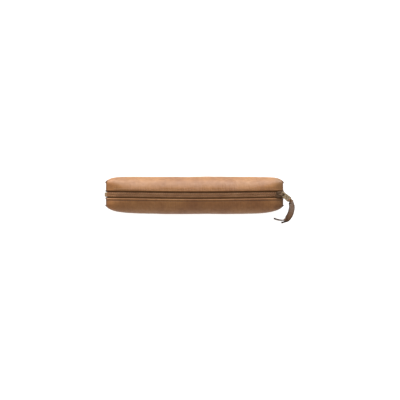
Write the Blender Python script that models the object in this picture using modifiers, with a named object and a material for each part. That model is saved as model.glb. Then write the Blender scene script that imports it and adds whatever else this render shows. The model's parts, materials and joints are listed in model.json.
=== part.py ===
"""A small leather zip case: a boxed, lined leather tube with a zip along its top and a strap on the slider.

+X runs along the case to the closed end of the zip and +Z is up. The origin is on the table, under the middle.
The case's two upper halves lean outwards about a line along each lower side, and the slider runs along X.
"""

import math

import bmesh
import bpy
from mathutils import Matrix, Vector

MM = 0.001

# The leather tube, in mm. A half-width or a corner radius grows from its end value to its middle value.
HALF_LENGTH = 99.2
HEIGHT = 41.0
BACK_WIDTH = (15.2, 20.5, 5.5)  # at the end, in the middle, and how far from the end it grows
FRONT_WIDTH = (14.0, 22.0, 10.0)
CORNER = (3.0, 18.0, 14.0)
END_EDGE = 2.5
LEAST_RADIUS = 0.4
LEATHER = 1.4
LINING = 0.5
TAPE = 0.6
GAP = 0.3

# Where the leather is parted: the fold line along each side, and the seam across each end.
FOLD_Z = 6.0
SEAM_Z = 19.0
CORNER_X = 96.4
HINGE_Y = {"back": 18.7, "front": -18.4}
SIGN = {"back": 1, "front": -1}

# The zip. A stop is a box: its low and its high corner.
LIP = 4.1
TAPE_HALF = 10.0
TAPE_INNER = 0.9
TOOTH_PITCH = 2.0
TOOTH_REACH = 0.55
ROW_EDGE = 2.5
ROW_HALF = 93.0
ROW_THICK = 1.2
TAPE_TOP = HEIGHT - LEATHER - GAP
TOP_STOP_X = (98.0, 99.2)
TOP_STOP_Y = (1.3, 3.4)
TOP_STOP_Z = (34.6, 37.2)
TOP_STOP_EDGE = 0.3
BOTTOM_STOP = ((-100.9, -2.2, 33.5), (-97.9, 2.2, 38.5))
BOTTOM_STOP_EDGE = 0.7

# The slider, with its bridge post nearest the end of the case
SLIDER_FROM, SLIDER_TO = 91.5, 100.6
SLIDER_HALF = 3.7
SLIDER_EDGE = 0.35
PLATE = 1.0
FLOOR_TO = 96.3
FLOOR_HALF = 3.2
WEDGE_X = (94.0, 96.2)
WEDGE_HALF = 0.55
RIM_FROM, RIM_TO = 91.9, 97.0
RIM_OUTER = 3.6
BRIDGE_POSTS = (99.2, 93.6)
BRIDGE_WIRE = 0.6
BRIDGE_TOP = 45.6
BRIDGE_CORNER = 0.9

# The pull is a flat tab with an eye for the bridge and a slot for the strap. It points off the end.
# Along it, 0 is the bridge's post. A width here is half of one.
TAB_YAW = math.radians(-40)
TAB_DROP = math.radians(5)
TAB_Z = 43.8
TAB_THICK = 1.1
TAB_FROM, TAB_TO = -2.85, 9.75
TAB_NEAR_HALF, TAB_FAR_HALF = 2.45, 3.3
TAB_CORNER = 0.9
EYE = (-1.75, 2.0, 1.35)
SLOT = (7.0, 8.65, 2.2)
BAR = 9.2

# The strap's centre line, with the direction of its width, from the tab down to its tip on the table
STRAP_ROUTE = (
    ((108.2, -9.0, 38.0), (0.8, 0.6, 0.0), 5.6),
    ((110.0, -13.5, 28.5), (1.0, 0.2, 0.0), 6.4),
    ((110.2, -18.2, 18.5), (1.0, 0.0, 0.0), 6.8),
    ((109.2, -23.2, 11.0), (1.0, -0.1, 0.2), 6.9),
    ((106.3, -27.6, 6.6), (0.7, -0.1, 0.7), 6.8),
    ((101.6, -29.9, 4.4), (0.2, 0.1, 1.0), 6.4),
    ((96.0, -29.6, 3.7), (0.0, 0.15, 1.0), 5.6),
    ((91.0, -28.2, 3.3), (0.0, 0.15, 1.0), 4.2),
)
# The strap's head: how far each row is past the bar, and its thickness
STRAP_HEAD = ((-1.6, 2.2), (0.0, 3.2), (1.9, 2.6))
STRAP_HEAD_WIDTH = 3.5
STRAP_THICK = 2.2
STRAP_STEPS = 4
STRAP_HOLE = 0.95
STRAP_HOLE_LENGTH = 9.0

# The leather strips over the end seams
STRIP_THICK = 1.0
END_SEAM_Y = (-10.5, 11.5)
END_SEAM_HALF = 1.2
END_SEAM_EDGE = 0.3
CORNER_SEAM_Z = (2.5, 38.2)
CORNER_SEAM_INNER = 2.6
CORNER_SEAM_OUTER = {"back": 1.4, "front": 0.6}
CORNER_SEAM_EDGE = 0.4

MATERIALS = {
    "leather": ((0.46, 0.24, 0.12), 0.5, 0.0),
    "lining": ((0.20, 0.14, 0.10), 0.9, 0.0),
    "tape": ((0.16, 0.09, 0.05), 0.85, 0.0),
    "coil": ((0.30, 0.20, 0.13), 0.45, 0.0),
    "brass": ((0.36, 0.29, 0.19), 0.38, 1.0),
    "strap": ((0.25, 0.13, 0.08), 0.55, 0.0),
    "binding": ((0.10, 0.06, 0.04), 0.6, 0.0),
}


def clear_scene():
    for obj in list(bpy.data.objects):
        bpy.data.objects.remove(obj, do_unlink=True)


def make_collection(name, hidden=False):
    made = bpy.data.collections.new(name)
    bpy.context.scene.collection.children.link(made)
    made.hide_render = hidden
    return made


def make_materials():
    made = {}
    for name, (colour, roughness, metallic) in MATERIALS.items():
        material = bpy.data.materials.new(name)
        material.use_nodes = True
        shader = material.node_tree.nodes["Principled BSDF"]
        shader.inputs["Base Color"].default_value = (*colour, 1.0)
        shader.inputs["Roughness"].default_value = roughness
        shader.inputs["Metallic"].default_value = metallic
        made[name] = material
    return made


def object_of(name, mesh, collection):
    obj = bpy.data.objects.new(name, mesh)
    collection.objects.link(obj)
    return obj


def object_from_bmesh(name, work, collection):
    bmesh.ops.recalc_face_normals(work, faces=work.faces)
    mesh = bpy.data.meshes.new(name)
    work.to_mesh(mesh)
    work.free()
    return object_of(name, mesh, collection)


def box(name, low, high, collection, bevel=0.0):
    """A box between two corners given in mm, with its edges rounded by bevel."""
    work = bmesh.new()
    bmesh.ops.create_cube(work, size=1.0)
    low, high = Vector(low), Vector(high)
    size, middle = high - low, (low + high) / 2
    for vertex in work.verts:
        vertex.co = Vector(middle[k] + vertex.co[k] * size[k] for k in range(3)) * MM
    obj = object_from_bmesh(name, work, collection)
    if bevel:
        rounding = obj.modifiers.new("rounding", "BEVEL")
        rounding.width = bevel * MM
        rounding.segments = 2
    return obj


def cut(obj, *cutters, operation="DIFFERENCE"):
    for cutter in cutters:
        modifier = obj.modifiers.new(f"{operation.lower()}_{cutter.name}"[:60], "BOOLEAN")
        modifier.operation = operation
        modifier.object = cutter


def finish(obj, material, smooth_below=35):
    obj.data.materials.append(material)
    if obj.type == "MESH":
        obj.data.shade_smooth()
        obj.data.set_sharp_from_angle(angle=math.radians(smooth_below))
    return obj


# The leather tube and what follows its shape


def grown(u, end, middle, reach):
    """A size u mm in from the end of the case."""
    return middle - (middle - end) * math.exp(-u / reach)


def section(u, inset, arc_steps=5):
    """The tube's outline in Y and Z, u mm from its end and inset mm inside its outer face."""
    back = grown(u, *BACK_WIDTH) - inset
    front = grown(u, *FRONT_WIDTH) - inset
    radius = max(grown(u, *CORNER) - inset, LEAST_RADIUS)
    top, bottom = HEIGHT - inset, inset
    centres = (
        (back - radius, top - radius),
        (radius - front, top - radius),
        (radius - front, bottom + radius),
        (back - radius, bottom + radius),
    )
    outline = []
    for quarter, (y, z) in enumerate(centres):
        for step in range(arc_steps + 1):
            angle = math.pi / 2 * (quarter + step / arc_steps)
            outline.append((y + radius * math.cos(angle), z + radius * math.sin(angle)))
    return outline


def half_stations(inset, edge_steps=3, middle_steps=9):
    """(x, inset) of the outlines from the end to the middle. The first few round the end's edge."""
    length = HALF_LENGTH - inset
    edge = max(END_EDGE - inset, LEAST_RADIUS)
    found = []
    for step in range(edge_steps + 1):
        angle = math.pi / 2 * step / edge_steps
        x = length - edge * (1 - math.cos(angle))
        found.append((x, inset + edge * (1 - math.sin(angle))))
    for step in range(1, middle_steps + 1):
        share = (step / middle_steps) ** 2
        found.append(((length - edge) * (1 - share), inset))
    return found


def tube(name, inset, collection):
    """A closed solid of the whole tube, inset mm inside its outer face."""
    half = half_stations(inset)
    stations = [(-x, sunk) for x, sunk in half] + [(x, sunk) for x, sunk in half[-2::-1]]
    work = bmesh.new()
    rings = []
    for x, sunk in stations:
        outline = section(HALF_LENGTH - abs(x), sunk)
        rings.append([work.verts.new((x * MM, y * MM, z * MM)) for y, z in outline])
    count = len(rings[0])
    for first, second in zip(rings, rings[1:]):
        for k in range(count):
            after = (k + 1) % count
            work.faces.new((first[k], first[after], second[after], second[k]))
    work.faces.new(rings[0])
    work.faces.new(rings[-1])
    return object_from_bmesh(name, work, collection)


def span(low, high):
    """A cutter's corners, with None standing for past the case."""
    past = 140.0
    return (
        tuple(-past if v is None else v for v in low),
        tuple(past if v is None else v for v in high),
    )


def make_cutters(cutters):
    """Boxes that part the tube into its base and its two upper halves, and that open the zip's gap."""
    made = {}

    def cutter(name, low, high):
        made[name] = box("cut_" + name, *span(low, high), cutters)
        made[name].display_type = "WIRE"

    cutter("above_seam", (None, None, SEAM_Z), (None, None, None))
    cutter("above_fold", (-CORNER_X, None, FOLD_Z), (CORNER_X, None, None))
    cutter("below_fold", (None, None, None), (None, None, FOLD_Z + GAP))
    reach = CORNER_X - GAP
    cutter("right_end", (reach, None, None), (None, None, SEAM_Z + GAP))
    cutter("left_end", (None, None, None), (-reach, None, SEAM_Z + GAP))
    cutter("mouth", (None, -LIP, SEAM_Z + GAP), (None, LIP, None))
    cutter("tape_space", (None, -TAPE_HALF - GAP, SEAM_Z + GAP), (None, TAPE_HALF + GAP, None))
    cutter("front_side", (None, None, None), (None, 0.05, None))
    cutter("back_side", (None, -0.05, None), (None, None, None))
    low, high = (None, TAPE_INNER, SEAM_Z + 2 * GAP), (None, TAPE_HALF, None)
    cutter("tape_back", low, high)
    cutter("tape_front", (low[0], -high[1], low[2]), (high[0], -low[1], high[2]))
    for name, inset in (
        ("leather_inside", LEATHER),
        ("lining_inside", LEATHER + GAP + LINING),
        ("tape_inside", LEATHER + GAP + TAPE),
    ):
        made[name] = tube("cut_" + name, inset, cutters)
        made[name].display_type = "WIRE"
    for obj in made.values():
        obj.hide_render = True
    return made


def make_shells(parts, cutters, materials):
    """The leather, the lining and the zip tapes."""
    layers = (
        ("leather", 0.0, cutters["leather_inside"], cutters["mouth"], "leather"),
        ("lining", LEATHER + GAP, cutters["lining_inside"], cutters["tape_space"], "lining"),
    )
    for name, inset, inside, slot, material in layers:
        base = tube(name + "_base", inset, parts)
        cut(base, inside, cutters["above_seam"], cutters["above_fold"])
        finish(base, materials[material])
        for side, other in (("back", "front"), ("front", "back")):
            upper = tube(f"{name}_{side}", inset, parts)
            cut(upper, inside, slot, cutters["below_fold"], cutters["right_end"], cutters["left_end"])
            cut(upper, cutters[other + "_side"])
            finish(upper, materials[material])
    for side in SIGN:
        tape = tube("zip_tape_" + side, LEATHER + GAP, parts)
        cut(tape, cutters["tape_inside"])
        cut(tape, cutters["tape_" + side], operation="INTERSECT")
        finish(tape, materials["tape"])


# The zip's rows, stops and slider


def flat_outline(name, points, low_z, thickness, collection):
    """A flat plate: an outline in mm, filled and extruded, whose lower face is at low_z."""
    curve = bpy.data.curves.new(name, "CURVE")
    curve.dimensions = "2D"
    curve.fill_mode = "BOTH"
    curve.extrude = thickness / 2 * MM
    spline = curve.splines.new("POLY")
    spline.points.add(len(points) - 1)
    for point, (x, y) in zip(spline.points, points):
        point.co = (x * MM, y * MM, 0.0, 1.0)
    spline.use_cyclic_u = True
    obj = object_of(name, curve, collection)
    obj.location.z = (low_z + thickness / 2) * MM
    return obj


def make_rows(parts, materials):
    """Two combs whose teeth reach past the middle, each between two of the other's."""
    for side, sign in SIGN.items():
        shift = TOOTH_PITCH / 2 if side == "front" else 0.0
        count = int((2 * ROW_HALF - TOOTH_PITCH) / TOOTH_PITCH)
        half_tooth = TOOTH_PITCH / 4 - GAP / 2
        points = [(-ROW_HALF, sign * ROW_EDGE), (-ROW_HALF, sign * (TOOTH_REACH + GAP))]
        for k in range(count):
            x = -ROW_HALF + TOOTH_PITCH / 2 + shift + k * TOOTH_PITCH
            root, tip = sign * (TOOTH_REACH + GAP), -sign * TOOTH_REACH
            points += [(x - half_tooth, root), (x - half_tooth, tip)]
            points += [(x + half_tooth, tip), (x + half_tooth, root)]
        points += [(ROW_HALF, sign * (TOOTH_REACH + GAP)), (ROW_HALF, sign * ROW_EDGE)]
        row = flat_outline("zip_row_" + side, points, TAPE_TOP + GAP, ROW_THICK, parts)
        finish(row, materials["coil"])


def make_stops(parts, materials):
    """A clip at the closed end of each tape, and one across both at the other end."""
    for side, sign in SIGN.items():
        across = sorted(sign * y for y in TOP_STOP_Y)
        low, high = zip(TOP_STOP_X, across, TOP_STOP_Z)
        stop = box("zip_top_stop_" + side, low, high, parts, TOP_STOP_EDGE)
        finish(stop, materials["brass"])
    end = box("zip_bottom_stop", *BOTTOM_STOP, parts, BOTTOM_STOP_EDGE)
    finish(end, materials["brass"])


def make_slider(parts, cutters, materials):
    """Two plates joined by a wedge, the upper one with edges that turn down beside the rows."""
    under = TAPE_TOP - TAPE - GAP
    over = TAPE_TOP + GAP + ROW_THICK + GAP
    body = box(
        "slider_body",
        (SLIDER_FROM, -SLIDER_HALF, over),
        (SLIDER_TO, SLIDER_HALF, over + PLATE),
        parts,
        SLIDER_EDGE,
    )
    middle_low, middle_high = under - PLATE / 2, over + PLATE / 2
    pieces = [
        ("floor", (SLIDER_FROM, -FLOOR_HALF, under - PLATE), (FLOOR_TO, FLOOR_HALF, under)),
        ("wedge", (WEDGE_X[0], -WEDGE_HALF, middle_low), (WEDGE_X[1], WEDGE_HALF, middle_high)),
    ]
    for side, sign in SIGN.items():
        low, high = sorted((sign * (ROW_EDGE + GAP), sign * RIM_OUTER))
        pieces.append((side, (RIM_FROM, low, TAPE_TOP + GAP), (RIM_TO, high, middle_high)))
    for name, low, high in pieces:
        piece = box("join_slider_" + name, low, high, cutters)
        piece.hide_render = True
        piece.display_type = "WIRE"
        cut(body, piece, operation="UNION")
    finish(body, materials["brass"])

    foot = over + PLATE + GAP + BRIDGE_WIRE
    shoulder = BRIDGE_TOP - BRIDGE_CORNER
    near, far = BRIDGE_POSTS
    route = [(near, foot), (near, shoulder), (near - BRIDGE_CORNER, BRIDGE_TOP)]
    route += [(far + BRIDGE_CORNER, BRIDGE_TOP), (far, shoulder), (far, foot)]
    bridge = wire("slider_bridge", [Vector((x, 0.0, z)) for x, z in route], BRIDGE_WIRE, parts)
    finish(bridge, materials["brass"])


def wire(name, route, radius, collection):
    """A wire along points in mm."""
    curve = bpy.data.curves.new(name, "CURVE")
    curve.dimensions = "3D"
    curve.bevel_depth = radius * MM
    curve.bevel_resolution = 2
    curve.use_fill_caps = True
    spline = curve.splines.new("POLY")
    spline.points.add(len(route) - 1)
    for point, place in zip(spline.points, route):
        point.co = (*(place * MM), 1.0)
    return object_of(name, curve, collection)


# The pull


def tab_frame():
    """The tab's pivot on the bridge post, its own direction, and the direction of its bar."""
    pivot = Vector((BRIDGE_POSTS[0], 0.0, TAB_Z))
    level = math.cos(TAB_DROP)
    along = Vector((math.cos(TAB_YAW) * level, math.sin(TAB_YAW) * level, -math.sin(TAB_DROP)))
    across = Vector((-math.sin(TAB_YAW), math.cos(TAB_YAW), 0.0))
    return pivot, along, across


def cut_corners(start, stop, near_half, far_half, corner):
    """An outline along a tab, narrower at its start, with its four corners cut off."""
    near, far = start + corner, stop - corner
    return [
        (start, corner - near_half),
        (start, near_half - corner),
        (near, near_half),
        (far, far_half),
        (stop, far_half - corner),
        (stop, corner - far_half),
        (far, -far_half),
        (near, -near_half),
    ]


def make_tab(parts, cutters, materials):
    pivot, along, across = tab_frame()
    turn = Matrix((along, across, along.cross(across))).transposed()
    place = Matrix.Translation(pivot * MM) @ turn.to_4x4()
    outline = cut_corners(TAB_FROM, TAB_TO, TAB_NEAR_HALF, TAB_FAR_HALF, TAB_CORNER)
    work = bmesh.new()
    faces = []
    for z in (-TAB_THICK / 2, TAB_THICK / 2):
        faces.append([work.verts.new((x * MM, y * MM, z * MM)) for x, y in outline])
        work.faces.new(faces[-1])
    for k in range(len(outline)):
        after = (k + 1) % len(outline)
        work.faces.new((faces[0][k], faces[0][after], faces[1][after], faces[1][k]))
    tab = object_from_bmesh("pull_tab", work, parts)
    tab.matrix_world = place
    for name, (start, stop, half) in (("eye", EYE), ("slot", SLOT)):
        hole = box("cut_tab_" + name, (start, -half, -TAB_THICK), (stop, half, TAB_THICK), cutters)
        hole.matrix_world = place
        hole.hide_render = True
        hole.display_type = "WIRE"
        cut(tab, hole)
    finish(tab, materials["brass"])


def smooth_between(points, steps):
    """Points of a Catmull-Rom curve through vectors of any length."""
    found = []
    for k in range(len(points) - 1):
        p0, p1, p2 = points[max(k - 1, 0)], points[k], points[k + 1]
        p3 = points[min(k + 2, len(points) - 1)]
        for step in range(steps):
            t = step / steps
            square = 2 * p0 - 5 * p1 + 4 * p2 - p3
            cube = 3 * p1 - p0 - 3 * p2 + p3
            found.append(0.5 * (2 * p1 + (p2 - p0) * t + square * t**2 + cube * t**3))
    return found + [points[-1]]


def make_strap(parts, cutters, materials):
    """A strap of two layers as one solid: a narrow head round the tab's bar, then a ribbon that twists."""
    pivot, along, across = tab_frame()
    bar = pivot + along * BAR
    rows = [(bar + along * past, across, STRAP_HEAD_WIDTH, thickness) for past, thickness in STRAP_HEAD]
    rows += [(Vector(place), Vector(wide), width, STRAP_THICK) for place, wide, width in STRAP_ROUTE]
    places = smooth_between([row[0] for row in rows], STRAP_STEPS)
    widths = smooth_between([row[1].normalized() for row in rows], STRAP_STEPS)
    sizes = smooth_between([Vector((row[2], row[3])) for row in rows], STRAP_STEPS)
    work = bmesh.new()
    rings = []
    for k, (place, wide, size) in enumerate(zip(places, widths, sizes)):
        tangent = (places[min(k + 1, len(places) - 1)] - places[max(k - 1, 0)]).normalized()
        wide = (wide - tangent * wide.dot(tangent)).normalized()
        thick = tangent.cross(wide)
        corners = []
        for a, b in ((1, 1), (-1, 1), (-1, -1), (1, -1)):
            corners.append(place + wide * (a * size.x / 2) + thick * (b * size.y / 2))
        rings.append([work.verts.new(corner * MM) for corner in corners])
    for first, second in zip(rings, rings[1:]):
        for k in range(4):
            after = (k + 1) % 4
            work.faces.new((first[k], first[after], second[after], second[k]))
    work.faces.new(rings[0])
    work.faces.new(rings[-1])
    strap = object_from_bmesh("pull_strap", work, parts)
    work = bmesh.new()
    turn = across.to_track_quat("Z", "Y").to_matrix().to_4x4()
    bmesh.ops.create_cone(
        work,
        cap_ends=True,
        segments=12,
        radius1=STRAP_HOLE * MM,
        radius2=STRAP_HOLE * MM,
        depth=STRAP_HOLE_LENGTH * MM,
        matrix=Matrix.Translation(bar * MM) @ turn,
    )
    hole = object_from_bmesh("cut_strap_hole", work, cutters)
    hole.hide_render = True
    hole.display_type = "WIRE"
    cut(strap, hole)
    finish(strap, materials["strap"])


# The seams that show


def make_bindings(parts, materials):
    """A strip over the seam across each end, and one down each corner of each end."""
    face = HALF_LENGTH + GAP
    for end, sign in (("right", 1), ("left", -1)):
        thick = sorted((sign * face, sign * (face + STRIP_THICK)))
        across = (SEAM_Z - END_SEAM_HALF, SEAM_Z + END_SEAM_HALF)
        low, high = zip(thick, END_SEAM_Y, across)
        strip = box("end_seam_" + end, low, high, parts, END_SEAM_EDGE)
        finish(strip, materials["binding"])
        for side, way in SIGN.items():
            corner = (BACK_WIDTH if side == "back" else FRONT_WIDTH)[0]
            inner, outer = corner - CORNER_SEAM_INNER, corner + CORNER_SEAM_OUTER[side]
            low, high = zip(thick, sorted((way * inner, way * outer)), CORNER_SEAM_Z)
            strip = box(f"corner_seam_{end}_{side}", low, high, parts, CORNER_SEAM_EDGE)
            finish(strip, materials["binding"])


def main():
    clear_scene()
    parts = make_collection("leather_zip_case")
    hidden = make_collection("cutters", hidden=True)
    materials = make_materials()
    cutters = make_cutters(hidden)
    make_shells(parts, cutters, materials)
    make_rows(parts, materials)
    make_stops(parts, materials)
    make_slider(parts, hidden, materials)
    make_tab(parts, hidden, materials)
    make_strap(parts, hidden, materials)
    make_bindings(parts, materials)


main()
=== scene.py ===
"""The looks of a small leather zip case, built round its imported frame.

The axes are the frame's own: +X along the case to the slider's rest, +Z up through the zip. Shapes are
worked out in mm and multiplied by MM for the mesh. The stage and the material depths are in metres.
"""

import json
import math

import bmesh
import bpy
import numpy as np
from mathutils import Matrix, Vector, noise


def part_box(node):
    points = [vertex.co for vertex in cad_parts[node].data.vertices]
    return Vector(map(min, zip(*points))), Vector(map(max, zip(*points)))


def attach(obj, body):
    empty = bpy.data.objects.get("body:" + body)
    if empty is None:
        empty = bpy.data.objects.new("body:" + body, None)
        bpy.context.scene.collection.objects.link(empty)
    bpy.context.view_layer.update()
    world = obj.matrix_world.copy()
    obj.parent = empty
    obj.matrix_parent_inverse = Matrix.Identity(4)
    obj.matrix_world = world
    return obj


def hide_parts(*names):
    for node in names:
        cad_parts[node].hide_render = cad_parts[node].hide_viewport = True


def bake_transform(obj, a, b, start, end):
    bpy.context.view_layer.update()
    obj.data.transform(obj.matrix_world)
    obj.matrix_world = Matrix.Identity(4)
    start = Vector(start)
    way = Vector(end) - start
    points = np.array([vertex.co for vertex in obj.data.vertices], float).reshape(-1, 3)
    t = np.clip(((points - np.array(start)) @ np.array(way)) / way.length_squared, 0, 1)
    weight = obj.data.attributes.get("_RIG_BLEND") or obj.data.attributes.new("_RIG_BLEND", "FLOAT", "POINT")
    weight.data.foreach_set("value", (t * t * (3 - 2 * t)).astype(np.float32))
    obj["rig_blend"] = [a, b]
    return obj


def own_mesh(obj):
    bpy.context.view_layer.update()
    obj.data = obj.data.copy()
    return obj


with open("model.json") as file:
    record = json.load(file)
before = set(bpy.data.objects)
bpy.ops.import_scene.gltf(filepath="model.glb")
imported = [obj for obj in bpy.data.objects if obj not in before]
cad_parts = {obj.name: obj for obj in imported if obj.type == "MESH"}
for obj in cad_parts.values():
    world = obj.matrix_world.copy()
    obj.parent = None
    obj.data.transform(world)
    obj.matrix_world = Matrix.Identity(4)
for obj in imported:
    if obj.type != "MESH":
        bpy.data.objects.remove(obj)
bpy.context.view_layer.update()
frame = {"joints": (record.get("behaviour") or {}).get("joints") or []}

MM = 0.001
SIDES = {"back": 1, "front": -1}

# The tube, in mm. Sizes with three numbers are at the end, in the middle, and how fast one becomes the other.
HALF_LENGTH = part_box("leather_base")[1][0] / MM
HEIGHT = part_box("leather_back")[1][2] / MM
WIDTH = {"back": (15.2, 20.5, 5.5), "front": (14.0, 22.0, 10.0)}
CORNER = (3.0, 18.0, 14.0)
LEAST_RADIUS = 0.4
END_EDGE = 2.5
END_BULGE = 0.95
END_SHARES = (0.12, 0.28, 0.46, 0.64, 0.82, 0.95, 1.0)
EDGE_STEPS = 5
CORNER_STEPS = 12
TOP_POINTS = CORNER_STEPS + 2
CROWDING = 1.18
SEAM_Z = 19.0
LEATHER = 1.4
LINING_INSET = 1.95

# The lip beside the zip, its stitched groove and the welt between them
LIP = 4.1
LIP_EDGE = LIP + 0.4
LIP_REACH = 7.0
LIP_ROLL = ((0.25, 1.75), (0.42, 1.05), (0.32, 0.42))
# Painted shade on the lip's roll, darkest where it turns furthest down into the zip's gap
LIP_SHADE = (0.75, 0.45, 0.12)
LIP_CREASE = (0.0, 0.0, 0.1)
STITCH_OFF = 1.9
GROOVE = {"back": 0.22, "front": 0.85}
GROOVE_REACH = 0.5
WELT = {"back": 0.10, "front": 0.45}
WELT_OFF, WELT_REACH = 0.7, 0.75
TOP_RISE = {"back": 0.05, "front": 0.50}

# Hand-made unevenness
SAG_SEED = {"back": 3.7, "front": 9.1}
SAG_BROAD, SAG_FINE, SAG_LESS = 0.75, 0.22, 0.12
BOW_DEPTH, BOW_REACH = 1.0, 94.0

# The zip
TAPE_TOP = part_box("zip_tape_back")[1][2] / MM
ROW_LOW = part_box("zip_row_back")[0][2] / MM
ROW_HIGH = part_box("zip_row_back")[1][2] / MM
ROW_END_Z = 35.0
TOOTH_PITCH = 2.0
COIL_STEPS = 12
COIL_SHIFT = {"back": 0.0, "front": 0.5}
COIL_WIRE, COIL_OFF, COIL_HALF = 0.36, 1.12, 1.22
TUBE_SIDES = 6

# The pull
# STRAP_HEAD has (out along the tab, up, width, thickness). STRAP_ROUTE has (place, way across, width).
TAB_YAW, TAB_DROP = math.radians(-40), math.radians(5)
TAB_FROM, TAB_TO, TAB_HALF_THICK = -2.85, 9.75, 0.55
TAB_NEAR_HALF, TAB_FAR_HALF = 2.45, 3.3
EYE = (-1.75, 1.1, 1.15)
SLOT = (7.6, 8.65, 2.15)
LOOP_HALF = 1.98
LOOP_OUTLINE = ((1.36, -1), (1.45, -0.5), (1.48, 0), (1.45, 0.5), (1.36, 1), (0.80, 1), (0.80, -1))
STRAP_HEAD = ((1.1, -0.1, 3.9, 2.8), (2.3, -0.9, 4.1, 2.5), (3.1, -2.7, 4.7, 2.3))
STRAP_ROUTE = (
    ((108.2, -9.0, 38.0), (0.8, 0.6, 0.0), 5.6),
    ((110.0, -13.5, 28.5), (1.0, 0.2, 0.0), 6.4),
    ((110.2, -18.2, 18.5), (1.0, 0.0, 0.0), 6.8),
    ((109.2, -23.2, 11.0), (1.0, -0.1, 0.2), 6.9),
    ((106.3, -27.6, 6.6), (0.7, -0.1, 0.7), 6.8),
    ((101.6, -29.9, 4.4), (0.2, 0.1, 1.0), 6.4),
    ((96.0, -29.6, 3.7), (0.0, 0.15, 1.0), 5.6),
    ((91.0, -28.2, 3.3), (0.0, 0.15, 1.0), 4.2),
)

# The mouth opens most between these two places along the zip, and not at all at them. The leather bends
# between the two heights.
MOUTH_FROM, MOUTH_TO = -86.0, 99.0
BEND_FROM_Z, BEND_TO_Z = 2.0, 31.0


def grown(u, end, middle, reach):
    """A size u mm in from the end of the case."""
    return middle - (middle - end) * math.exp(-u / reach)


def bow(x):
    """How far towards the back the zip's line lies, x mm along the case: below 0, so towards the front."""
    return -BOW_DEPTH * math.cos(math.pi / 2 * min(abs(x) / BOW_REACH, 1.0)) ** 1.5


# Materials


def new_material(name):
    material = bpy.data.materials.new(name)
    material.use_nodes = True
    nodes = material.node_tree.nodes
    return material, nodes, material.node_tree.links, nodes["Principled BSDF"]


def texture(nodes, links, kind, vector, **inputs):
    node = nodes.new("ShaderNodeTex" + kind)
    for name, value in inputs.items():
        node.inputs[name.replace("_", " ")].default_value = value
    links.new(vector, node.inputs["Vector"])
    return node


def rest_coordinates(nodes):
    """The place of each point on the closed case, in mm, so that nothing slides when it bends."""
    node = nodes.new("ShaderNodeAttribute")
    node.attribute_name = "rest"
    return node.outputs["Vector"]


def named_value(nodes, name):
    node = nodes.new("ShaderNodeAttribute")
    node.attribute_name = name
    return node.outputs["Fac"]


def stretched(nodes, links, vector, scale):
    node = nodes.new("ShaderNodeMapping")
    node.inputs["Scale"].default_value = scale
    links.new(vector, node.inputs["Vector"])
    return node.outputs["Vector"]


def ramp(nodes, links, value, stops):
    node = nodes.new("ShaderNodeValToRGB")
    elements = node.color_ramp.elements
    while len(elements) < len(stops):
        elements.new(0.5)
    for element, (place, colour) in zip(elements, stops):
        element.position = place
        element.color = (*colour, 1.0)
    links.new(value, node.inputs["Fac"])
    return node.outputs["Color"]


def grey_ramp(nodes, links, value, stops):
    return ramp(nodes, links, value, [(place, (grey,) * 3) for place, grey in stops])


def mixed(nodes, links, first, second, share, way="MIX"):
    """Two colours mixed. Each argument is a socket or a plain value."""
    node = nodes.new("ShaderNodeMix")
    node.data_type = "RGBA"
    node.blend_type = way
    for socket, value in ((node.inputs[0], share), (node.inputs[6], first), (node.inputs[7], second)):
        if isinstance(value, bpy.types.NodeSocket):
            links.new(value, socket)
        elif isinstance(value, (int, float)):
            socket.default_value = value
        else:
            socket.default_value = (*value, 1.0)
    return node.outputs[2]


def maths(nodes, links, operation, first, second):
    node = nodes.new("ShaderNodeMath")
    node.operation = operation
    for socket, value in zip(node.inputs, (first, second)):
        if isinstance(value, bpy.types.NodeSocket):
            links.new(value, socket)
        else:
            socket.default_value = value
    return node.outputs[0]


def bumped(nodes, links, shader, heights):
    """Chains bumps, each (height socket, strength, depth in metres), into the shader's normal."""
    normal = None
    for height, strength, depth in heights:
        node = nodes.new("ShaderNodeBump")
        node.inputs["Strength"].default_value = strength
        node.inputs["Distance"].default_value = depth
        links.new(height, node.inputs["Height"])
        if normal is not None:
            links.new(normal, node.inputs["Normal"])
        normal = node.outputs["Normal"]
    links.new(normal, shader.inputs["Normal"])


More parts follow.
